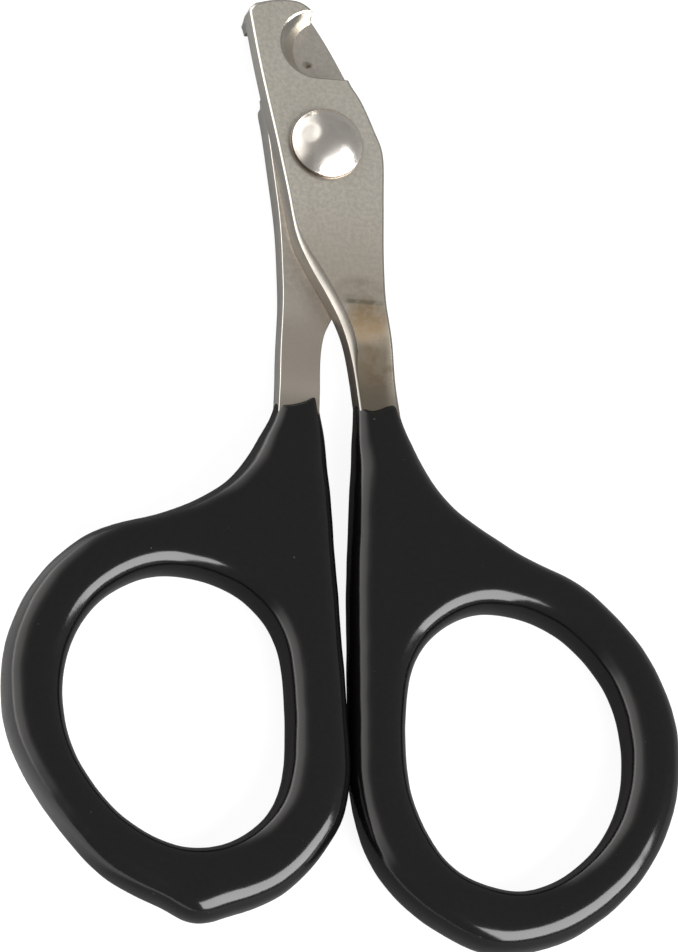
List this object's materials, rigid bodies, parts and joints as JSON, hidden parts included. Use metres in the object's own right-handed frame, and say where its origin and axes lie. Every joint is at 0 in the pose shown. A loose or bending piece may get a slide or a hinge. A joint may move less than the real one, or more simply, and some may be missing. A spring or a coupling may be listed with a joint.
{
  "type": "scissor nail clipper",
  "caption": "Scissor-action claw clipper with crossed steel blades, notched jaws, a domed pivot rivet and black dipped finger loops.",
  "frame": {"origin": "centre of the rivet's flat tail, on the pivot's axis and on the plane that the closed clipper lies on", "axes": "+Y from the pivot to the jaws, with the handles along -Y; +Z out of the front face, along the pivot's axis; +X to the front blade's handle"},
  "size_m": [0.0602, 0.0884, 0.0065],
  "materials": {
    "blade_steel": "satin, fine grain",
    "rivet_steel": "polished",
    "dipped_vinyl": "soft gloss, dipped"
  },
  "bodies": {
    "front_half": {"front_blade": "blade_steel", "right_grip": "dipped_vinyl", "pivot_rivet": "rivet_steel"},
    "rear_half": {"rear_blade": "blade_steel", "left_grip": "dipped_vinyl"}
  },
  "joints": [
    {"name": "pivot", "type": "hinge", "parent": "front_half", "child": "rear_half", "pos_m": [0, 0, 0.0025], "axis": [0, 0, -1], "range_deg": [0, 100]}
  ]
}
